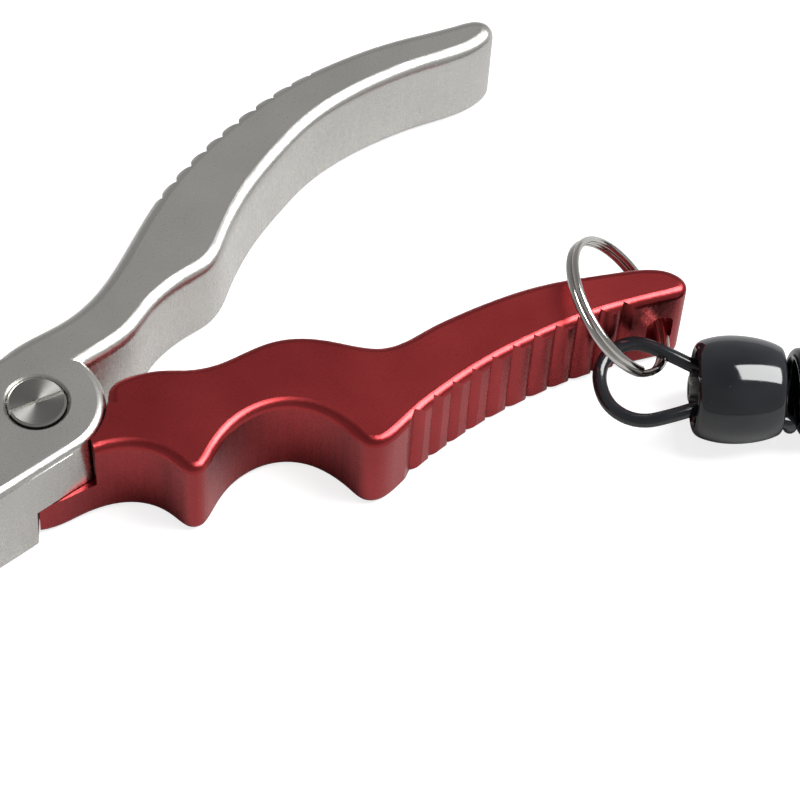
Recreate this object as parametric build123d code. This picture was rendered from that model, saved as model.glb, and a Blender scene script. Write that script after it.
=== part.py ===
from build123d import *
import os
from math import atan2, cos, degrees, pi, radians, sin, tan

# Fishing pliers with a coiled lanyard, in millimetres.
# The two halves cross in a half-lap joint on a pivot screw.  Each half is drawn in the closed frame:
# handle towards +X, jaw towards -X, and the jaws meet on the line Y = 0.  The silver half is then turned
# by +HALF_OPEN and the red half by -HALF_OPEN, which is the rest pose with the jaws sprung open.
# The origin is on the pivot axis, in the plane of the underside.

# ---- driving dimensions ------------------------------------------------------------------------
THICK = 14.8            # thickness of both halves
HALF_OPEN = 10.0        # each half's turn from closed to the rest pose, degrees
LAP_Z = 6.7             # the plane where the two laps meet
LAP_GAP = 0.1           # each lap's distance from that plane, filled by the lap washer
LAP_R = 9.0             # radius of the lap discs, of the silver one at its top
LAP_CLEAR = 0.35        # radial clearance round a lap disc
MATING_GAP = 0.05       # each jaw's distance from the closed line
SILVER_ROUND = 1.75     # edge rounding of the silver handle
LAP_ROUND = 1.1         # edge rounding of the laps and jaw carriers
RED_ROUND = 1.25        # edge rounding of the red handle
STEP_ANGLE = 128.0      # direction of the step between lap and jaw carrier, from +X
CARRIER_END = -26.0     # front end of the aluminium jaw carriers
JAW_TIP = -62.0         # tip of the steel jaws
LOBE_RISE = 0.95        # height of a grip lobe over its two cusps

SCREW_HEAD_R = 4.0
SCREW_HEAD_TOP = 15.0
SCREW_SEAT_Z = 12.0
SINK_DEPTH = 0.4        # countersink round the screw head
SHOULDER_R = 3.0
BORE_R = 3.04
THREAD_R = 2.2
NUT_SEAT_Z = 2.6
SLOT_ANGLE = -5.0       # driver slot of the screw, in the rest pose

RING_R = 10.15          # mean radius of the split ring
RING_WIRE_R = 0.5
RING_CENTRE = (80.9, -8.3, 12.4)      # red half's closed frame
RING_AXIS_ANGLE = 76.0                # direction of the slot that the ring passes through
RING_LEAN = 47.0                      # the ring's lean up from the horizontal
RING_END_ANGLE = 103.0                # where one wire end shows, from the ring's highest point
RING_JOG = 26.0                       # angle that the wire takes to cross from one turn to the other
SLOT_CENTRE = (87.5, -7.4, 6.9)
SLOT_SIZE = (3.8, 6.4)

CORD_R = 1.0            # radius of the lanyard's cord
COIL_R = 6.35           # outer radius of its coil
FERRULE_R = 7.5
FERRULE_LENGTH = 12.2
FERRULE_BORE = 3.0      # depth of the ferrules' open mouths
LANYARD_TURN = -30.3    # direction of the near ferrule's axis, in the rest pose

ROD_R = 1.6             # rod of the clip


# ---- small helpers -----------------------------------------------------------------------------
def turned(shape, angle):
    return Rot(0, 0, angle) * shape


def silver_side(shape):
    return turned(shape, HALF_OPEN)


def red_side(shape):
    return turned(shape, -HALF_OPEN)


def polar(radius, angle):
    return (radius * cos(radians(angle)), radius * sin(radians(angle)))


def prism(curves, low, high):
    outline = curves[0]
    for curve in curves[1:]:
        outline = outline + curve
    return Pos(0, 0, low) * extrude(make_face(outline), high - low)


def rod(radius, low, high, x=0.0, y=0.0):
    return Pos(x, y, low) * Cylinder(radius, high - low, align=(Align.CENTER, Align.CENTER, Align.MIN))


def block(low, high):
    size = [b - a for a, b in zip(low, high)]
    return Pos(*low) * Box(*size, align=(Align.MIN, Align.MIN, Align.MIN))


def rim(solid, height):
    """Edges of a prism that lie in the plane at this height."""
    return solid.edges().filter_by_position(Axis.Z, height, height)


def rounded(solid, radius, heights, keep=lambda edge: True):
    edges = [edge for z in heights for edge in rim(solid, z) if keep(edge)]
    return fillet(edges, radius)


def save(name, shape):
    shape.label = name
    solids = shape.solids()
    whole = solids[0] if len(solids) == 1 else Compound(children=list(solids))
    export_step(whole, f"parts/{name}.step")


# ---- grip lobes --------------------------------------------------------------------------------
LOBE_PROFILE = [(0.15, 0.68), (0.42, 1.0), (0.72, 0.74)]      # share of a lobe's length, share of its rise


def lobe_mask(spine_points, lobes, outward, far, profile):
    """A prism that holds the whole handle, with a row of convex, skewed lobes cut into one edge.

    spine_points: the curve that the cusps lie on; outward: +1 or -1 in Y; far: how far the mask
    reaches past the handle everywhere else."""
    spine = Spline(*spine_points)
    cusps = [spine @ (i / lobes) for i in range(lobes + 1)]
    step_in = cusps[1] - cusps[0]
    step_out = cusps[-1] - cusps[-2]
    lift = Vector(0, outward * 2.6, 0)
    curves = [Line(cusps[0] - step_in + lift, cusps[0])]
    for a, b in zip(cusps, cusps[1:]):
        along = (b - a).normalized()
        out = Vector(-along.Y, along.X, 0) * outward
        bulge = [a + (b - a) * share + out * (LOBE_RISE * rise) for share, rise in profile]
        curves.append(Spline(a, *bulge, b))
    first, last = cusps[0] - step_in + lift, cusps[-1] + step_out + lift
    corners = [
        cusps[-1],
        last,
        (last.X, last.Y + outward * far),
        (last.X + far, last.Y + outward * far),
        (last.X + far, -outward * far),
        (-far, -outward * far),
        (-far, first.Y + outward * far),
        (first.X, first.Y + outward * far),
        first,
    ]
    return prism(curves + [Polyline(*corners)], -1, THICK + 1)


# ---- silver half -------------------------------------------------------------------------------
SILVER_OUTLINE = [
    (1.1, 9.4), (6.0, 9.5), (10.6, 9.1), (14.2, 9.3), (18.5, 10.4), (23.7, 12.7), (29.3, 15.6), (36.7, 18.9),
    (43.6, 20.9), (50.0, 22.1), (57.0, 22.75), (63.0, 22.7), (68.5, 22.05), (73.8, 21.05), (79.9, 19.3),
    (85.6, 17.2), (88.6, 16.2), (90.8, 15.2), (91.9, 13.4), (91.2, 11.6), (89.0, 10.75), (84.5, 11.1),
    (79.0, 12.7), (72.5, 14.1), (65.4, 14.8), (59.0, 14.4), (52.5, 12.8), (46.5, 10.8), (41.6, 8.5),
    (38.1, 6.4), (35.2, 4.6), (32.3, 3.7), (28.9, 3.75), (25.2, 3.6), (21.8, 2.85), (18.6, 1.7), (15.5, 1.1),
    (12.0, 1.0), (5.0, 1.05),
]
SILVER_GRIP = [(34.7, 16.95), (45.2, 19.75), (55.4, 21.25), (64.9, 21.55)]
SILVER_LOBES = 9

CARRIER_TANGENT = -96.0     # direction where the lap disc runs into the carrier's outer wall
CARRIER_FRONT_Y = -8.7
DRAFT = 7.0             # the silver lap and carrier widen downwards by this angle


def silver_handle_body():
    inside = Polyline(SILVER_OUTLINE[-1], (5.0, 4.0), (2.0, 4.0), SILVER_OUTLINE[0])
    body = prism([Spline(*SILVER_OUTLINE), inside], 0, THICK)
    body = rounded(body, SILVER_ROUND, (0, THICK), is_curved)
    return body & lobe_mask(SILVER_GRIP, SILVER_LOBES, 1, 40, LOBE_PROFILE)


def is_curved(edge):
    return edge.geom_type == GeomType.BSPLINE


def silver_half():
    blank = drafted_blank(LAP_R)
    low = blank & block((-40, -40, 0), (40, 40, LAP_Z + LAP_GAP))
    top = blank - low
    low -= lap_room(-STEP_ANGLE)
    carrier = rounded(top + low, LAP_ROUND, (0, THICK), on_outer_edge)
    room = rod(LAP_R + LAP_CLEAR, -1, LAP_Z + LAP_GAP) + block((-40, 0, -1), (8, 20, LAP_Z + LAP_GAP))
    half = (silver_handle_body() - room) + carrier
    half -= rod(BORE_R, 0, THICK) + screw_head_bore()
    half -= spring_pocket(LAP_Z, LAP_Z + SPRING_POCKET)
    half -= rod(SPRING_WIRE_R + 0.1, LAP_Z, SPRING_TOP + 0.4, *polar(SPRING_R, SPRING_LEG_ANGLE))
    return half - jaw_seat(-1)


def screw_head_bore():
    """Seat of the screw head, with a small countersink at its mouth."""
    radius = SCREW_HEAD_R + 0.2
    sink = Pos(0, 0, THICK - SINK_DEPTH) * Cone(radius, radius + SINK_DEPTH, SINK_DEPTH,
                                                align=(Align.CENTER, Align.CENTER, Align.MIN))
    return rod(radius, SCREW_SEAT_Z, THICK + 1) + sink


def carrier_outline(radius):
    """Lap disc and jaw carrier, with the jaw on the -Y side of the closed line."""
    start_x = -(radius ** 2 - MATING_GAP ** 2) ** 0.5
    meet = polar(radius, CARRIER_TANGENT)
    disc = ThreePointArc((start_x, -MATING_GAP), polar(radius, 40), meet)
    front = Polyline(meet, (CARRIER_END, CARRIER_FRONT_Y), (CARRIER_END, -MATING_GAP), (start_x, -MATING_GAP))
    return [disc, front]


def drafted_blank(radius):
    """The silver lap and carrier, widening from its top face down, with upright mating and front faces."""
    disc, front = carrier_outline(radius)
    blank = Pos(0, 0, THICK) * extrude(make_face(disc + front), -THICK, taper=-DRAFT)
    blank -= block((-60, -60, -1), (CARRIER_END, 60, THICK + 1))
    jaw_side = block((-60, -MATING_GAP, -1), (0, 60, THICK + 1)) - rod(radius, -2, THICK + 2)
    return blank - jaw_side


def lap_room(step_angle):
    """The space that the other half's lap sweeps: a disc, and the sector past the step."""
    edge = polar(30, step_angle)
    sector = Polyline((0, 0), edge, (edge[0], -30), (30, -30), (30, 30), (0, 30), (0, 0))
    return rod(LAP_R + LAP_CLEAR, -1, LAP_Z + LAP_GAP) + prism([sector], -1, LAP_Z + LAP_GAP)


def on_outer_edge(edge):
    middle = edge @ 0.5
    return middle.Y < -1 and middle.X > CARRIER_END + 0.5 or middle.X > -9.6 and middle.Y > 0.5


# ---- red half ----------------------------------------------------------------------------------
RED_OUTLINE = [
    (-3.35, -10.85), (-0.5, -10.9), (3.4, -10.15), (7.2, -9.95), (10.4, -10.75), (12.9, -12.5), (14.6, -15.0),
    (16.0, -16.8), (17.4, -17.0), (18.8, -16.1), (20.8, -14.1), (23.4, -12.1), (26.2, -10.9), (29.2, -10.5),
    (32.2, -11.1), (34.8, -12.7), (36.9, -15.2), (38.4, -18.0), (39.7, -20.1), (41.4, -20.7), (43.9, -20.0),
    (47.5, -18.0), (52.5, -15.75), (59.3, -13.35), (66.3, -11.7), (72.9, -10.65), (79.5, -10.25),
    (84.5, -10.35), (88.2, -10.5), (90.0, -10.1), (90.7, -8.9), (90.2, -7.1), (88.5, -5.5), (85.4, -4.35),
    (81.0, -3.65), (76.4, -3.0), (71.5, -2.6), (66.0, -2.75), (59.5, -3.55), (53.8, -4.7), (50.2, -5.65),
    (47.0, -5.7), (44.2, -4.5), (41.0, -2.5), (37.4, -0.75), (33.2, 0.0), (29.0, -0.5), (24.7, -1.2),
    (20.8, -0.8), (17.6, 0.2), (14.5, 0.6), (12.4, 0.55), (10.9, 0.15), (9.85, -0.65), (9.3, -1.8), (8.95, -3.1),
]
RED_GRIP = [(47.5, -16.95), (57.75, -12.95), (67.9, -10.4), (75.0, -9.5), (81.0, -9.25)]
RED_LOBES = 10
RED_END_X = 5.0            # where the red handle's upper half ends, in front of the silver lap


def red_handle_body():
    lobe_end = polar(LAP_R - 1.0, -STEP_ANGLE + 2 * HALF_OPEN + 0.8)
    inside = Polyline(RED_OUTLINE[-1], (7.5, -2.7), (0.0, -2.7), lobe_end, RED_OUTLINE[0])
    body = prism([Spline(*RED_OUTLINE), inside], 0, THICK)
    body = rounded(body, RED_ROUND, (0, THICK), is_curved)
    body &= lobe_mask(RED_GRIP, RED_LOBES, -1, 40, [(1 - share, rise) for share, rise in reversed(LOBE_PROFILE)])
    upper = block((-30, -30, LAP_Z - LAP_GAP), (30, 30, THICK + 1))
    in_front = block((-30, -30, LAP_Z - LAP_GAP), (RED_END_X, 30, THICK + 1))
    top = (body & upper) - in_front - turned(drafted_blank(LAP_R + LAP_CLEAR), 2 * HALF_OPEN) - lap_cone()
    return top + (body - upper)


def red_half():
    carrier = mirror(prism(carrier_outline(LAP_R), 0, THICK), Plane.XZ)
    carrier -= lap_cone()
    edge = polar(30, STEP_ANGLE)
    sector = Polyline((0, 0), edge, (30, edge[1]), (30, -30), (0, -30), (0, 0))
    carrier -= prism([sector], LAP_Z - LAP_GAP, THICK + 1)
    half = red_handle_body() + carrier
    half -= rod(BORE_R, 0, THICK) + rod(4.4, -1, NUT_SEAT_Z)
    half -= spring_pocket(LAP_Z - SPRING_POCKET, LAP_Z) + spring_leg_slot()
    half -= ring_slot()
    return half - jaw_seat(1)


def lap_cone():
    """The room that the silver lap turns in."""
    height = THICK - LAP_Z + LAP_GAP
    top = LAP_R + LAP_CLEAR
    spread = height * tan(radians(DRAFT))
    cone = Cone(top + spread, top, height, align=(Align.CENTER, Align.CENTER, Align.MIN))
    return Pos(0, 0, LAP_Z - LAP_GAP) * cone + rod(top, THICK, THICK + 1)


def ring_slot():
    width, height = SLOT_SIZE
    profile = Plane.XZ * SlotOverall(height, width, rotation=90)
    return Pos(*SLOT_CENTRE) * Rot(0, 0, RING_AXIS_ANGLE - 90) * extrude(profile, 14, both=True)


# ---- pivot -------------------------------------------------------------------------------------
SPRING_R = 6.7
SPRING_WIRE_R = 0.45
SPRING_TURNS = 3
SPRING_PITCH = 1.05
SPRING_POCKET = 2.1
SPRING_LEG_ANGLE = 160.0
SPRING_BOTTOM = 2.8
SPRING_TOP = 11.2


def spring_pocket(low, high):
    return rod(SPRING_R + 0.85, low, high) - rod(SPRING_R - 0.85, low - 1, high + 1)


def spring_leg_slot():
    """Arc slot in the red lap that the spring's lower leg moves along as the pliers close."""
    slot = Part()
    for angle in range(146, 184, 3):
        slot += rod(SPRING_WIRE_R + 0.12, SPRING_BOTTOM - 0.4, LAP_Z, *polar(SPRING_R, angle))
    return slot


def return_spring():
    low = LAP_Z - SPRING_TURNS * SPRING_PITCH / 2
    path = Helix(SPRING_PITCH, SPRING_TURNS * SPRING_PITCH, SPRING_R, center=(0, 0, low))
    section = Plane(origin=path @ 0, z_dir=path % 0) * Circle(SPRING_WIRE_R)
    coil = Rot(0, 0, SPRING_LEG_ANGLE) * sweep(section, path=path)
    leg = polar(SPRING_R, SPRING_LEG_ANGLE)
    upper = rod(SPRING_WIRE_R, low + SPRING_TURNS * SPRING_PITCH, SPRING_TOP, *leg)
    lower = rod(SPRING_WIRE_R, SPRING_BOTTOM, low, *leg)
    return coil + upper + lower


def pivot_screw():
    head = rod(SCREW_HEAD_R, SCREW_SEAT_Z, SCREW_HEAD_TOP)
    head = chamfer(rim(head, SCREW_HEAD_TOP), 0.3)
    head -= Rot(0, 0, SLOT_ANGLE) * Pos(0, 0, SCREW_HEAD_TOP) * Box(20, 0.55, 1.6)
    return head + rod(SHOULDER_R, NUT_SEAT_Z, SCREW_SEAT_Z) + rod(THREAD_R, 1.3, NUT_SEAT_Z)


def pivot_nut():
    nut = chamfer(rim(rod(4.15, 0, 2.2), 0), 0.3) - rod(THREAD_R, 1.2, 3)
    for x in (-2.8, 2.8):
        nut -= rod(0.6, -1, 0.9, x=x)
    return nut


def ring_washer(inner, outer, low, high):
    return rod(outer, low, high) - rod(inner, low - 1, high + 1)


# ---- jaws and cutters --------------------------------------------------------------------------
TONGUE_Y = (3.6, 8.0)
TONGUE_Z = (5.0, 9.8)
TONGUE_BACK = -13.6
JAW_SCREW_X = (-16.6, -22.4)
JAW_SCREW_Y = 5.8
CUTTER_X = (-23.4, -12.6)
CUTTER_DEPTH = 2.6
CUTTER_Z = (3.6, 11.2)
CUTTER_SCREW_X = -19.5
CUTTER_HEAD_Y = (7.4, 8.7)
TEETH_PITCH = 1.15


def toward(side, shape):
    """A shape drawn on the +Y side, moved to the given side of the closed line."""
    return shape if side > 0 else mirror(shape, Plane.XZ)


def jaw_seat(side):
    """Slot for the jaw's tongue, cutter pocket and screw holes of one carrier."""
    (y0, y1), (z0, z1), (c0, c1) = TONGUE_Y, TONGUE_Z, CUTTER_Z
    seat = block((CARRIER_END - 1, y0, z0), (TONGUE_BACK, y1, z1))
    seat += block((CUTTER_X[0], -1, c0), (CUTTER_X[1], CUTTER_DEPTH, c1))
    for x in JAW_SCREW_X:
        seat += rod(1.25, 2.0, THICK + 1, x, JAW_SCREW_Y) + rod(2.3, THICK - 2.4, THICK + 1, x, JAW_SCREW_Y)
    seat += cutter_screw_hole()
    return toward(side, seat)


def cutter_screw_hole():
    return along_y(0.85, -0.5, 12.0) + along_y(1.6, CUTTER_HEAD_Y[0], 12.5)


def along_y(radius, low, high):
    """A rod along Y on the cutter screw's axis."""
    return Pos(CUTTER_SCREW_X, 0, THICK / 2) * Rot(-90, 0, 0) * rod(radius, low, high)


def jaw(side):
    """Steel jaw: a tapered nose with a toothed face, and a tongue that fills the carrier's slot."""
    (y0, y1), (z0, z1) = TONGUE_Y, TONGUE_Z
    nose = prism([
        Polyline((CARRIER_END - 0.1, MATING_GAP), (JAW_TIP + 1.2, MATING_GAP), (JAW_TIP, 1.4)),
        ThreePointArc((JAW_TIP, 1.4), (JAW_TIP + 0.45, 2.6), (JAW_TIP + 1.6, 3.3)),
        ThreePointArc((JAW_TIP + 1.6, 3.3), (-44.0, 5.6), (CARRIER_END - 0.1, 8.7)),
        Line((CARRIER_END - 0.1, 8.7), (CARRIER_END - 0.1, MATING_GAP)),
    ], 1.2, THICK - 1.2)
    slope = 3.6 / (CARRIER_END - JAW_TIP)
    for top in (False, True):
        face = Polyline((CARRIER_END - 2, 0), (JAW_TIP - 2, 0), (JAW_TIP - 2, slope * -(JAW_TIP + 28)),
                        (CARRIER_END - 2, 0))
        wedge = extrude(Plane.XZ * make_face(face), 15, both=True)
        nose -= Pos(0, 0, 1.2) * wedge if not top else Pos(0, 0, THICK - 1.2) * mirror(wedge, Plane.XY)
    teeth = Part()
    for i in range(24):
        x = JAW_TIP + 2.2 + i * TEETH_PITCH
        teeth += Pos(x, MATING_GAP, THICK / 2) * Rot(0, 0, 45) * Box(0.62, 0.62, 20)
    tongue = block((CARRIER_END - 0.2, y0 + 0.05, z0 + 0.05), (TONGUE_BACK - 0.1, y1 - 0.05, z1 - 0.05))
    shape = nose - teeth + tongue
    for x in JAW_SCREW_X:
        shape -= rod(1.25, 0, THICK, x, JAW_SCREW_Y)
    return toward(side, shape - cutter_screw_hole())


def jaw_screws(side):
    screws = Part()
    for x in JAW_SCREW_X:
        head = rod(2.2, THICK - 2.4, THICK - 0.2, x, JAW_SCREW_Y) - Pos(x, JAW_SCREW_Y, THICK - 0.2) * extrude(
            RegularPolygon(1.15, 6), 1.2, both=True)
        screws += head + rod(1.2, 2.4, THICK - 2.4, x, JAW_SCREW_Y)
    return toward(side, screws)


def cutter(side):
    """Carbide cutter: a block in the carrier's pocket, bevelled to an edge on the closed line."""
    (x0, x1), (z0, z1) = CUTTER_X, CUTTER_Z
    blade = block((x0 + 0.05, MATING_GAP, z0 + 0.05), (x1 - 0.05, CUTTER_DEPTH - 0.02, z1 - 0.05))
    low = z0 - 0.1
    bevel = Polyline((MATING_GAP - 0.1, low), (MATING_GAP + 1.5, low), (MATING_GAP - 0.1, THICK / 2 - 0.4),
                     (MATING_GAP - 0.1, low))
    cut = extrude(Plane.YZ * make_face(bevel), 40, both=True)
    blade -= cut
    blade -= Pos(0, 0, THICK) * mirror(cut, Plane.XY)
    blade -= cutter_screw_hole()
    return toward(side, blade)


def cutter_screw(side):
    low, high = CUTTER_HEAD_Y
    slot = Pos(CUTTER_SCREW_X, high, THICK / 2) * Box(4, 1.2, 0.45)
    return toward(side, along_y(1.5, low, high) + along_y(0.8, 0.9, low) - slot)


# ---- split ring --------------------------------------------------------------------------------
def split_ring():
    """Two turns of wire side by side, with a jog where one turn crosses over to the other."""
    shift = RING_WIRE_R * 0.98
    start = RING_END_ANGLE + RING_JOG
    sweep_angle = 360.0 - RING_JOG
    first = CenterArc((0, 0, -shift), RING_R, start, sweep_angle)
    second = CenterArc((0, 0, shift), RING_R, start, sweep_angle)
    section = Plane(origin=first @ 0, z_dir=first % 0) * Circle(RING_WIRE_R)
    other = Plane(origin=second @ 0, z_dir=second % 0) * Circle(RING_WIRE_R)
    bridge_line = Spline(first @ 1, second @ 0, tangents=[first % 1, second % 0])
    bridge_section = Plane(origin=bridge_line @ 0, z_dir=bridge_line % 0) * Circle(RING_WIRE_R)
    ring = sweep(section, path=first) + sweep(other, path=second) + sweep(bridge_section, path=bridge_line)
    return ring_place() * ring


def ring_place():
    """Moves a ring from the XY plane to the slot of the red handle, in the red half's closed frame."""
    axis = Vector(*polar(1, RING_AXIS_ANGLE))
    across = Vector(*polar(cos(radians(RING_LEAN)), RING_AXIS_ANGLE + 90)) + Vector(0, 0, sin(radians(RING_LEAN)))
    return Plane(origin=RING_CENTRE, x_dir=across, z_dir=axis.cross(across)).location


# ---- lanyard -----------------------------------------------------------------------------------
# The lanyard is laid out from the near ferrule's mouth: its own +X points away from the pliers.
MOUTH = (82.25, -36.2, FERRULE_R)      # centre of the near ferrule's mouth, in the rest pose
NEAR_LOOP = [(FERRULE_BORE, 3.0, 0.0), (1.4, 3.0, 0.0), (-3.4, 5.3, 0.7), (-8.0, 7.5, 0.6), (-11.7, 6.0, -0.4),
             (-13.2, 2.4, -1.2), (-11.8, -2.6, -1.5), (-7.6, -5.2, -1.3), (-2.6, -4.2, -0.4), (1.4, -2.8, 0.0),
             (FERRULE_BORE, -2.8, 0.0)]
COIL_ROUTE = [(FERRULE_LENGTH, 0.0, 0.0), (22.0, 0.0, 0.0), (35.0, 3.2, -1.0), (48.0, 11.0, -1.1), (58.5, 23.0, -1.0),
              (64.0, 36.0, 0.0), (66.5, 44.5, 0.0)]
FAR_LOOP = [(-FERRULE_BORE, 0.0, 2.9), (0.2, 0.0, 2.9), (4.8, 0.0, 4.0), (9.8, 0.0, 3.2), (11.3, 0.0, -0.4),
            (9.0, 0.0, -3.8), (4.6, 0.0, -4.2), (0.2, 0.0, -2.9), (-FERRULE_BORE, 0.0, -2.9)]


def lanyard_place():
    return Pos(*MOUTH) * Rot(0, 0, LANYARD_TURN)


def far_place():
    """Frame of the far ferrule's mouth, its +X away from the coil."""
    end, before = COIL_ROUTE[-1], COIL_ROUTE[-2]
    heading = degrees(atan2(end[1] - before[1], end[0] - before[0]))
    return lanyard_place() * Pos(*end) * Rot(0, 0, heading) * Pos(FERRULE_LENGTH, 0, 0)


def arc_radii(points, name):
    """The radius of each corner's arc: 0.45 of its shorter run, over the tangent of half its turn."""
    radii = []
    for a, b, c in zip(points, points[1:], points[2:]):
        back, ahead = Vector(*b) - Vector(*a), Vector(*c) - Vector(*b)
        half_turn = radians(back.get_angle(ahead)) / 2
        radii.append(0.45 * min(back.length, ahead.length) / tan(half_turn))
    print(name, "arc radii", [round(r, 1) for r in radii])
    return radii


def tube(points, radius, name):
    path = FilletPolyline(*points, radius=arc_radii(points, name))
    shape = sweep(Plane(origin=path @ 0, z_dir=path % 0) * Circle(radius), path=path)
    share = shape.volume / (pi * radius ** 2 * path.length)
    print(name, "length", round(path.length, 1), "volume ratio", round(share, 3))
    return shape


def ferrule():
    """Barrel ferrule along +X: an open mouth at 0, a closed back with the coil butted against it."""
    length = FERRULE_LENGTH
    outer = Spline((0, 5.75), (0.35, 6.35), (1.5, 6.95), (length * 0.45, FERRULE_R), (length * 0.78, 7.0),
                   (length - 0.8, 6.35), (length - 0.15, 5.9), (length, 5.4))
    bore = Polyline((length, 5.4), (length, 0), (FERRULE_BORE, 0), (FERRULE_BORE, 4.9), (0.4, 5.35), (0, 5.75))
    return revolve(make_face(outer + bore), Axis.X)


def crimp():
    return Pos(-0.7, 0, 0) * Rot(0, 90, 0) * ring_washer(1.0, 1.75, 0, FERRULE_BORE + 0.7)


# ---- clip --------------------------------------------------------------------------------------
CLIP_LENGTH = 44.0
CLIP_WIDTH = 22.0
CLIP_TIP = 7.4          # the clip slopes down to the floor by this angle, degrees
GATE_BACK = 9.0
GATE_FRONT = 35.0


def clip_place():
    return far_place() * Pos(7.3, 0, -0.1) * Rot(0, CLIP_TIP, 0)


def clip_body():
    """D-shaped rod frame, open along the gate's side."""
    w = CLIP_WIDTH / 2
    route = [(GATE_BACK, w, 0), (5.0, w, 0), (0.0, w * 0.55, 0), (0.0, -w * 0.55, 0), (4.5, -w, 0),
             (CLIP_LENGTH - 8, -w, 0), (CLIP_LENGTH, -w * 0.3, 0), (CLIP_LENGTH, w * 0.5, 0),
             (CLIP_LENGTH - 4.5, w, 0), (GATE_FRONT, w, 0)]
    return tube(route, ROD_R, "clip_body")


def clip_gate():
    """Straight gate rod on its pin, with a nose that seats in the end of the frame."""
    w = CLIP_WIDTH / 2
    pin_x = GATE_BACK + 3.2
    bar = Pos(pin_x + 1.9, w, 0) * Rot(0, 90, 0) * rod(ROD_R * 0.9, 0, GATE_FRONT - pin_x - 2.2)
    knuckle = rod(ROD_R, -1.0, 1.0, pin_x, w) + block((pin_x, w - 1.0, -1.0), (pin_x + 4, w + 1.0, 1.0))
    return bar + knuckle - rod(0.62, -2, 2, pin_x, w)


def clip_fork():
    """Two ears at the frame's end that hold the gate pin."""
    w = CLIP_WIDTH / 2
    ears = block((GATE_BACK - 0.6, w - ROD_R, -2.0), (GATE_BACK + 4.6, w + ROD_R, 2.0))
    ears -= block((GATE_BACK + 1.0, w - 3, -1.1), (GATE_BACK + 6, w + 3, 1.1))
    return ears - rod(0.6, -3, 3, GATE_BACK + 3.2, w)


def gate_pin():
    return rod(0.6, -2.0, 2.0, GATE_BACK + 3.2, CLIP_WIDTH / 2)


# ---- nodes -------------------------------------------------------------------------------------
def all_nodes():
    nodes = {
        "silver_handle": silver_side(silver_half()),
        "red_handle": red_side(red_half()),
        "pivot_screw": pivot_screw(),
        "pivot_nut": pivot_nut(),
        "nut_washer": ring_washer(THREAD_R + 0.1, 4.1, 2.25, NUT_SEAT_Z - 0.03),
        "lap_washer": ring_washer(SHOULDER_R + 0.1, 5.4, LAP_Z - LAP_GAP + 0.02, LAP_Z + LAP_GAP - 0.02),
        "return_spring": silver_side(return_spring()),
        "lower_jaw": silver_side(jaw(-1)),
        "upper_jaw": red_side(jaw(1)),
        "lower_jaw_screws": silver_side(jaw_screws(-1)),
        "upper_jaw_screws": red_side(jaw_screws(1)),
        "lower_cutter": silver_side(cutter(-1)),
        "upper_cutter": red_side(cutter(1)),
        "lower_cutter_screw": silver_side(cutter_screw(-1)),
        "upper_cutter_screw": red_side(cutter_screw(1)),
        "split_ring": red_side(split_ring()),
        "near_ferrule": lanyard_place() * ferrule(),
        "near_crimp": lanyard_place() * crimp(),
        "near_loop": lanyard_place() * tube(NEAR_LOOP, CORD_R, "near_loop"),
        "cord_coil": lanyard_place() * tube(COIL_ROUTE, COIL_R, "cord_coil"),
        "far_ferrule": far_place() * Rot(0, 0, 180) * ferrule(),
        "far_crimp": far_place() * Rot(0, 0, 180) * crimp(),
        "far_loop": far_place() * tube(FAR_LOOP, CORD_R, "far_loop"),
        "clip_body": clip_place() * (clip_body() + clip_fork()),
        "clip_gate": clip_place() * clip_gate(),
        "gate_pin": clip_place() * gate_pin(),
    }
    return nodes


os.makedirs("parts", exist_ok=True)
for node, shape in all_nodes().items():
    save(node, shape)
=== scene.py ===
from math import cos, pi, radians, sin

import bpy
from mathutils import Matrix, Quaternion, Vector


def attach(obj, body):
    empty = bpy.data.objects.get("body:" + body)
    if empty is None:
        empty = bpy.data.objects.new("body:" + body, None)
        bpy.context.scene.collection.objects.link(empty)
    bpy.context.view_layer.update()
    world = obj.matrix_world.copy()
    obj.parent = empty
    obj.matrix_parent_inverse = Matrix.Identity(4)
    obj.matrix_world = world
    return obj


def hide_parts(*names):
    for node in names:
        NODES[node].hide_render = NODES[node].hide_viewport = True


# Looks of the fishing pliers.  Everything is in metres, in the frame of the CAD model: the pivot axis is
# Z, the jaws point along -X and the part lies on the floor at Z = 0.

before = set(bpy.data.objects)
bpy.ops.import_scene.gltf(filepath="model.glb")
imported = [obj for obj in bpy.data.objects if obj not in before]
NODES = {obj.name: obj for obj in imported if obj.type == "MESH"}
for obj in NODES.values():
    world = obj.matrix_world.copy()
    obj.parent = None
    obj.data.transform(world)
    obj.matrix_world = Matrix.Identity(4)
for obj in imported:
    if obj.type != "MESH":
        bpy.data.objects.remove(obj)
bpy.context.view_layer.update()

MM = 0.001
CAMERA_AT = Vector((-105.6, -242.0, 392.8)) * MM
LOOK_AT = Vector((45.54, -18.75, 7.8)) * MM
CAMERA_ROLL = radians(4.645)
LENS = 154.8
SENSOR_WIDTH = 36.0
CLIP_START = 0.01
VIEW_HEADING = radians(55.9 - 90.0)     # turns +Y to the camera's heading over the floor
FLOOR_SIZE = 8.0
FLOOR_DROP = 0.0002     # keeps the floor just clear of the undersides
FLOOR_GLOW = 0.78       # keeps the floor near white for the camera
SKY_TONES = [(0.0, (0.40, 0.40, 0.405)), (0.4, (0.31, 0.31, 0.31)), (0.7, (0.27, 0.27, 0.27)),
             (1.0, (0.13, 0.13, 0.13))]     # by height, from the horizon to overhead
SMOOTH_ANGLE = radians(38)      # edges sharper than this stay sharp


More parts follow.
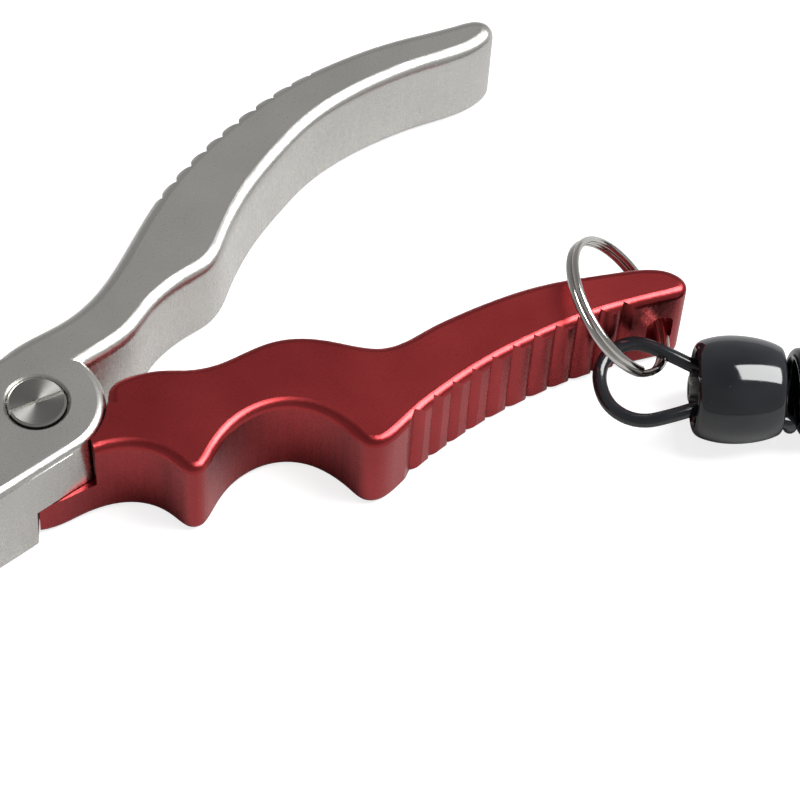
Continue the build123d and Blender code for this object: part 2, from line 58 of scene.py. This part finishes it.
# ---- camera, floor and light -------------------------------------------------------------------
def add_camera():
    data = bpy.data.cameras.new("camera")
    data.lens = LENS
    data.sensor_width = SENSOR_WIDTH
    data.clip_start = CLIP_START
    camera = bpy.data.objects.new("camera", data)
    bpy.context.scene.collection.objects.link(camera)
    camera.location = CAMERA_AT
    camera.rotation_mode = "QUATERNION"
    look = (LOOK_AT - CAMERA_AT).to_track_quat("-Z", "Y")
    camera.rotation_quaternion = look @ Quaternion((0, 0, 1), CAMERA_ROLL)
    bpy.context.scene.camera = camera


def add_softbox(name, direction, distance, width, height, strength):
    """A rectangular area light that faces LOOK_AT.

    direction: (right, away, up) as the camera sees the floor; strength: power per area, over pi."""
    towards = Matrix.Rotation(VIEW_HEADING, 3, "Z") @ Vector(direction).normalized()
    data = bpy.data.lights.new(name, "AREA")
    data.shape = "RECTANGLE"
    data.size = width
    data.size_y = height
    data.energy = strength * pi * width * height
    light = bpy.data.objects.new(name, data)
    light.location = LOOK_AT + towards * distance
    light.rotation_euler = (-towards).to_track_quat("-Z", "Y").to_euler()
    bpy.context.scene.collection.objects.link(light)


def add_floor():
    bpy.ops.mesh.primitive_grid_add(x_subdivisions=2, y_subdivisions=2, size=FLOOR_SIZE)
    floor = bpy.context.object
    floor.name = "floor"
    floor.location.z = -FLOOR_DROP
    floor.data.materials.append(floor_material())


def floor_material():
    """White to the camera with a faint shadow, and a mid grey in reflections."""
    paint = Paint("floor", (0.5, 0.5, 0.5), 0.0, 0.9)
    grain = paint.noise(60.0, detail=3.0)
    paint.set("Base Color", paint.ramp(grain, [(0.3, (0.40, 0.40, 0.40)), (0.7, (0.44, 0.44, 0.44))]))
    rays = paint.node("ShaderNodeLightPath")
    glow = paint.span(rays.outputs["Is Camera Ray"], 0.0, 1.0, 0.0, FLOOR_GLOW)
    paint.shader.inputs["Emission Color"].default_value = (1.0, 1.0, 1.0, 1.0)
    paint.set("Emission Strength", glow)
    return paint.material


def add_world():
    world = bpy.data.worlds.new("studio")
    bpy.context.scene.world = world
    world.use_nodes = True
    tree = world.node_tree
    back = tree.nodes["Background"]
    where = tree.nodes.new("ShaderNodeTexCoord")
    parts = tree.nodes.new("ShaderNodeSeparateXYZ")
    ramp = tree.nodes.new("ShaderNodeValToRGB")
    tree.links.new(where.outputs["Generated"], parts.inputs[0])
    tree.links.new(parts.outputs["Z"], ramp.inputs["Fac"])
    tree.links.new(ramp.outputs["Color"], back.inputs["Color"])
    set_ramp(ramp, SKY_TONES)
    back.inputs["Strength"].default_value = 1.0


def set_ramp(node, stops):
    """Colour stops of a ramp node: (position, colour)."""
    items = node.color_ramp.elements
    while len(items) > 1:
        items.remove(items[-1])
    items[0].position = stops[0][0]
    items[0].color = (*stops[0][1], 1.0)
    for place, colour in stops[1:]:
        items.new(place).color = (*colour, 1.0)


# ---- materials ---------------------------------------------------------------------------------
class Paint:
    """A material on one Principled shader, with helpers that add procedural detail to it."""

    def __init__(self, name, colour, metallic, roughness):
        self.material = bpy.data.materials.new(name)
        self.material.use_nodes = True
        self.tree = self.material.node_tree
        self.shader = self.tree.nodes["Principled BSDF"]
        self.shader.inputs["Base Color"].default_value = (*colour, 1.0)
        self.shader.inputs["Metallic"].default_value = metallic
        self.shader.inputs["Roughness"].default_value = roughness
        self.place = self.node("ShaderNodeTexCoord").outputs["Object"]
        self.bumps = None

    def node(self, kind):
        return self.tree.nodes.new(kind)

    def link(self, source, target):
        self.tree.links.new(source, target)

    def set(self, socket, source):
        self.link(source, self.shader.inputs[socket])

    def scaled(self, stretch):
        """Object coordinates, multiplied by a vector."""
        mapping = self.node("ShaderNodeMapping")
        mapping.inputs["Scale"].default_value = stretch
        self.link(self.place, mapping.inputs["Vector"])
        return mapping.outputs["Vector"]

    def noise(self, scale, detail=2.0, stretch=None):
        noise = self.node("ShaderNodeTexNoise")
        noise.inputs["Scale"].default_value = scale
        noise.inputs["Detail"].default_value = detail
        self.link(self.scaled(stretch) if stretch else self.place, noise.inputs["Vector"])
        return noise.outputs["Fac"]

    def ramp(self, source, stops):
        ramp = self.node("ShaderNodeValToRGB")
        set_ramp(ramp, stops)
        self.link(source, ramp.inputs["Fac"])
        return ramp.outputs["Color"]

    def span(self, source, low, high, out_low, out_high):
        """Maps low..high of a value to out_low..out_high."""
        node = self.node("ShaderNodeMapRange")
        for name, value in (("From Min", low), ("From Max", high), ("To Min", out_low), ("To Max", out_high)):
            node.inputs[name].default_value = value
        self.link(source, node.inputs["Value"])
        return node.outputs["Result"]

    def math(self, operation, first, second):
        node = self.node("ShaderNodeMath")
        node.operation = operation
        for socket, value in zip(node.inputs, (first, second)):
            if isinstance(value, float):
                socket.default_value = value
            else:
                self.link(value, socket)
        return node.outputs[0]

    def mix(self, share, first, second):
        """Colour mix of two sources by a share."""
        node = self.node("ShaderNodeMix")
        node.data_type = "RGBA"
        self.link(share, node.inputs["Factor"])
        for socket, value in ((node.inputs[6], first), (node.inputs[7], second)):
            if isinstance(value, tuple):
                socket.default_value = (*value, 1.0)
            else:
                self.link(value, socket)
        return node.outputs[2]

    def bump(self, height, depth, strength):
        """Adds a bump; each one builds on the last."""
        node = self.node("ShaderNodeBump")
        node.inputs["Distance"].default_value = depth
        node.inputs["Strength"].default_value = strength
        self.link(height, node.inputs["Height"])
        if self.bumps:
            self.link(self.bumps, node.inputs["Normal"])
        self.bumps = node.outputs["Normal"]
        self.set("Normal", self.bumps)

    def on_walls(self):
        """1 on upright walls, 0 on level faces."""
        geometry = self.node("ShaderNodeNewGeometry")
        parts = self.node("ShaderNodeSeparateXYZ")
        self.link(geometry.outputs["True Normal"], parts.inputs[0])
        level = self.math("ABSOLUTE", parts.outputs["Z"], 0.0)
        return self.span(level, 0.1, 0.6, 1.0, 0.0)

    def specks(self, scale, size):
        """Sparse small spots: 1 inside a spot."""
        cells = self.node("ShaderNodeTexVoronoi")
        cells.inputs["Scale"].default_value = scale
        self.link(self.place, cells.inputs["Vector"])
        return self.span(cells.outputs["Distance"], size * 0.6, size, 1.0, 0.0)


def anodised(name, colour, shade, roughness):
    """Bead-blasted and anodised aluminium: fine grain, and upright cutter marks on the walls."""
    paint = Paint(name, colour, 1.0, roughness)
    cloud = paint.noise(90.0, detail=4.0)
    walls = paint.on_walls()
    streaks = paint.noise(1.0, detail=3.0, stretch=(1600.0, 1600.0, 25.0))
    streak_shade = paint.math("MULTIPLY", walls, paint.span(streaks, 0.35, 0.65, 0.0, 1.0))
    base = paint.mix(paint.span(cloud, 0.3, 0.7, 0.0, 1.0), shade, colour)
    base = paint.mix(paint.math("MULTIPLY", streak_shade, 0.5), base, shade)
    paint.set("Base Color", base)
    grain = paint.noise(5200.0, detail=2.0)
    rough = paint.math("ADD", paint.span(grain, 0.3, 0.7, roughness - 0.03, roughness + 0.05),
                       paint.math("MULTIPLY", streak_shade, -0.05))
    paint.set("Roughness", rough)
    paint.bump(grain, 0.000004, 0.25)
    paint.bump(streak_shade, 0.000008, 0.35)
    return paint.material


def steel(name, colour, roughness, grain_scale=3000.0, stretch=(1.0, 1.0, 1.0), depth=0.00001):
    """Plain steel with a grain that can be stretched into brush or grinding marks."""
    paint = Paint(name, colour, 1.0, roughness)
    grain = paint.noise(grain_scale, detail=3.0, stretch=stretch)
    cloud = paint.noise(140.0, detail=3.0)
    darker = tuple(c * 0.8 for c in colour)
    paint.set("Base Color", paint.mix(paint.span(cloud, 0.3, 0.7, 0.0, 1.0), darker, colour))
    paint.set("Roughness", paint.span(grain, 0.3, 0.7, roughness * 0.8, roughness * 1.25))
    paint.bump(grain, depth, 0.5)
    return paint.material


def turned_steel():
    """Face turned on a lathe: fine rings round the pivot axis, with a highlight stretched across them."""
    paint = Paint("turned_steel", (0.42, 0.41, 0.39), 1.0, 0.30)
    rings = paint.node("ShaderNodeTexWave")
    rings.wave_type = "RINGS"
    rings.rings_direction = "Z"
    rings.inputs["Scale"].default_value = 1500.0
    rings.inputs["Distortion"].default_value = 1.5
    rings.inputs["Detail"].default_value = 2.0
    paint.link(paint.place, rings.inputs["Vector"])
    tones = [(0.0, (0.34, 0.33, 0.315)), (1.0, (0.50, 0.49, 0.465))]
    paint.set("Base Color", paint.ramp(rings.outputs["Fac"], tones))
    paint.shader.inputs["Anisotropic"].default_value = 0.85
    tangent = paint.node("ShaderNodeTangent")
    tangent.direction_type = "RADIAL"
    tangent.axis = "Z"
    paint.set("Tangent", tangent.outputs["Tangent"])
    paint.bump(rings.outputs["Fac"], 0.000002, 0.25)
    return paint.material


def gloss_black(name, roughness):
    """Moulded glossy black plastic with faint flow lines and a few dust specks."""
    paint = Paint(name, (0.010, 0.011, 0.013), 0.0, roughness)
    cloud = paint.noise(160.0, detail=3.0)
    dust = paint.math("MULTIPLY", paint.specks(420.0, 0.05), 0.10)
    base = paint.ramp(cloud, [(0.3, (0.008, 0.009, 0.011)), (0.7, (0.014, 0.015, 0.018))])
    paint.set("Base Color", paint.mix(dust, base, (0.5, 0.5, 0.5)))
    paint.set("Roughness", paint.span(cloud, 0.3, 0.7, roughness * 0.7, roughness * 1.5))
    paint.bump(paint.noise(700.0, detail=2.0), 0.00002, 0.15)
    paint.shader.inputs["Specular IOR Level"].default_value = 0.6
    return paint.material


def painted_black(name):
    """Satin black coating on metal."""
    paint = Paint(name, (0.02, 0.02, 0.022), 0.0, 0.38)
    grain = paint.noise(2600.0, detail=2.0)
    paint.set("Base Color", paint.ramp(grain, [(0.3, (0.015, 0.015, 0.017)), (0.7, (0.03, 0.03, 0.033))]))
    paint.set("Roughness", paint.span(grain, 0.3, 0.7, 0.30, 0.46))
    paint.bump(grain, 0.00001, 0.4)
    return paint.material


def dress(material, *names):
    for name in names:
        slots = NODES[name].data.materials
        slots.clear()
        slots.append(material)


def smooth(*names):
    """Smooth shading across soft edges, sharp across hard ones."""
    for name in names:
        item = NODES[name]
        with bpy.context.temp_override(object=item, active_object=item, selected_objects=[item],
                                       selected_editable_objects=[item]):
            bpy.ops.object.shade_smooth_by_angle(angle=SMOOTH_ANGLE)


# ---- lanyard -----------------------------------------------------------------------------------
# Lengths here are in millimetres, apart from MOUTH, which is in metres.
MOUTH = Vector((82.25, -36.2, 7.5)) * MM      # centre of the near ferrule's mouth
LANYARD_TURN = radians(-30.3)
FERRULE_LENGTH = 12.2
FERRULE_BORE = 3.0
CORD_R = 1.0
COIL_R = 5.35           # radius of the coil's cord line
FIRST_TURN_R = 5.0      # the turn that comes out of a ferrule is a little tighter
WIDENING_TURNS = 1.2    # turns over which the coil reaches its full radius
COIL_PITCH = 2.06
POINTS_PER_TURN = 14
# Control points from the near ferrule's mouth, its +X away from the pliers.
NEAR_LOOP = [
    (FERRULE_BORE, 3.0, 0.0), (1.4, 3.0, 0.0), (-3.4, 5.3, 0.7), (-8.0, 7.5, 0.6), (-11.7, 6.0, -0.4),
    (-13.2, 2.4, -1.2), (-11.8, -2.6, -1.5), (-7.6, -5.2, -1.3), (-2.6, -4.2, -0.4), (1.4, -2.8, 0.0),
    (FERRULE_BORE, -2.8, 0.0),
]
COIL_ROUTE = [
    (FERRULE_LENGTH, 0.0, 0.0), (22.0, 0.0, 0.0), (35.0, 3.2, -1.0), (48.0, 11.0, -1.1),
    (58.5, 23.0, -1.0), (64.0, 36.0, 0.0), (66.5, 44.5, 0.0),
]
# From the far ferrule's mouth, its +X away from the coil.
FAR_LOOP = [
    (-FERRULE_BORE, 0.0, 2.9), (0.2, 0.0, 2.9), (4.8, 0.0, 4.0), (9.8, 0.0, 3.2), (11.3, 0.0, -0.4),
    (9.0, 0.0, -3.8), (4.6, 0.0, -4.2), (0.2, 0.0, -2.9), (-FERRULE_BORE, 0.0, -2.9),
]
# Where the cord crosses between a loop and the coil, out of sight inside each ferrule.
NEAR_CROSSING = (FERRULE_LENGTH * 0.6, -3.6, -1.5)
FAR_CROSSING = (-FERRULE_LENGTH * 0.6, 0.0, 3.4)


def lanyard_point(point):
    return MOUTH + Matrix.Rotation(LANYARD_TURN, 3, "Z") @ (Vector(point) * MM)


def far_point(point):
    end, before = Vector(COIL_ROUTE[-1]), Vector(COIL_ROUTE[-2])
    ahead = (end - before).normalized()
    side = Vector((-ahead.y, ahead.x, 0.0))
    x, y, z = point
    return lanyard_point(end + ahead * (FERRULE_LENGTH + x) + side * y + Vector((0.0, 0.0, z)))


def nurbs(name, points):
    data = bpy.data.curves.new(name, "CURVE")
    data.dimensions = "3D"
    spline = data.splines.new("NURBS")
    spline.points.add(len(points) - 1)
    for item, place in zip(spline.points, points):
        item.co = (*place, 1.0)
    spline.order_u = 3
    spline.use_endpoint_u = True
    return data


def line_of(data):
    """The points along a curve that has no bevel."""
    helper = bpy.data.objects.new("helper", data)
    bpy.context.scene.collection.objects.link(helper)
    bpy.context.view_layer.update()
    mesh = bpy.data.meshes.new_from_object(helper)
    points = [vertex.co.copy() for vertex in mesh.vertices]
    bpy.data.objects.remove(helper)
    bpy.data.meshes.remove(mesh)
    return points


def along(points, share):
    """Point and direction at a share of a line's length."""
    steps = [(b - a).length for a, b in zip(points, points[1:])]
    left = share * sum(steps)
    for a, b, step in zip(points, points[1:], steps):
        if left <= step:
            return a.lerp(b, left / step), (b - a).normalized()
        left -= step
    return points[-1], (points[-1] - points[-2]).normalized()


def coil_points():
    """Control points of the coil, wound evenly along its route."""
    route_data = nurbs("route", [lanyard_point(p) for p in COIL_ROUTE])
    route_data.splines[0].resolution_u = 24
    route = line_of(route_data)
    length = sum((b - a).length for a, b in zip(route, route[1:]))
    margin = CORD_R * MM / length
    turns = (length - 2 * CORD_R * MM) / (COIL_PITCH * MM)
    count = int(turns * POINTS_PER_TURN)
    points = []
    for i in range(count + 1):
        share = i / count
        centre, ahead = along(route, margin + share * (1 - 2 * margin))
        side = Vector((0, 0, 1)).cross(ahead).normalized()
        rise = ahead.cross(side)
        angle = 2 * pi * turns * share + pi
        from_end = min(share, 1 - share) * turns
        radius = (FIRST_TURN_R + (COIL_R - FIRST_TURN_R) * min(1.0, from_end / WIDENING_TURNS)) * MM
        points.append(centre + (side * cos(angle) + rise * sin(angle)) * radius)
    return points


def add_lanyard(material):
    points = [lanyard_point(p) for p in NEAR_LOOP]
    points += [lanyard_point(NEAR_CROSSING)]
    points += coil_points()
    points += [far_point(FAR_CROSSING)]
    points += [far_point(p) for p in FAR_LOOP]
    data = nurbs("lanyard_cord", points)
    data.splines[0].resolution_u = 6
    data.bevel_depth = CORD_R * MM
    data.bevel_resolution = 5
    data.use_fill_caps = True
    data.materials.append(material)
    cord = bpy.data.objects.new("lanyard_cord", data)
    bpy.context.scene.collection.objects.link(cord)
    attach(cord, "lanyard")
    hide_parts("near_loop", "cord_coil", "far_loop")


# ---- the scene ---------------------------------------------------------------------------------
add_camera()
add_lanyard(gloss_black("cord_black", roughness=0.12))

bpy.context.scene.view_settings.view_transform = "Standard"
add_world()
add_floor()
add_softbox("overhead", direction=(0.60, 0.15, 0.94), distance=0.72, width=0.42, height=0.60, strength=13.0)

silver = anodised("silver_anodised", (0.68, 0.665, 0.635), shade=(0.60, 0.59, 0.56), roughness=0.30)
red = anodised("red_anodised", (0.44, 0.052, 0.055), shade=(0.34, 0.037, 0.040), roughness=0.30)
dress(silver, "silver_handle")
dress(red, "red_handle")
dress(turned_steel(), "pivot_screw", "pivot_nut", "gate_pin")
dress(steel("washer_bronze", (0.60, 0.42, 0.20), roughness=0.4), "nut_washer", "lap_washer")
dress(steel("spring_steel", (0.40, 0.40, 0.41), roughness=0.3), "return_spring")
dress(steel("jaw_steel", (0.50, 0.50, 0.49), roughness=0.38, grain_scale=3500.0, depth=0.00002),
      "lower_jaw", "upper_jaw")
dress(steel("carbide", (0.26, 0.26, 0.27), roughness=0.3, grain_scale=2500.0, stretch=(1.0, 1.0, 0.1)),
      "lower_cutter", "upper_cutter")
dress(steel("ring_steel", (0.68, 0.66, 0.63), roughness=0.14, grain_scale=900.0), "split_ring")
dress(steel("crimp_metal", (0.42, 0.42, 0.41), roughness=0.4), "near_crimp", "far_crimp")
dress(painted_black("black_oxide"), "lower_jaw_screws", "upper_jaw_screws", "lower_cutter_screw",
      "upper_cutter_screw")
dress(gloss_black("ferrule_black", roughness=0.08), "near_ferrule", "far_ferrule")
dress(painted_black("clip_black"), "clip_body", "clip_gate")
smooth(*NODES)
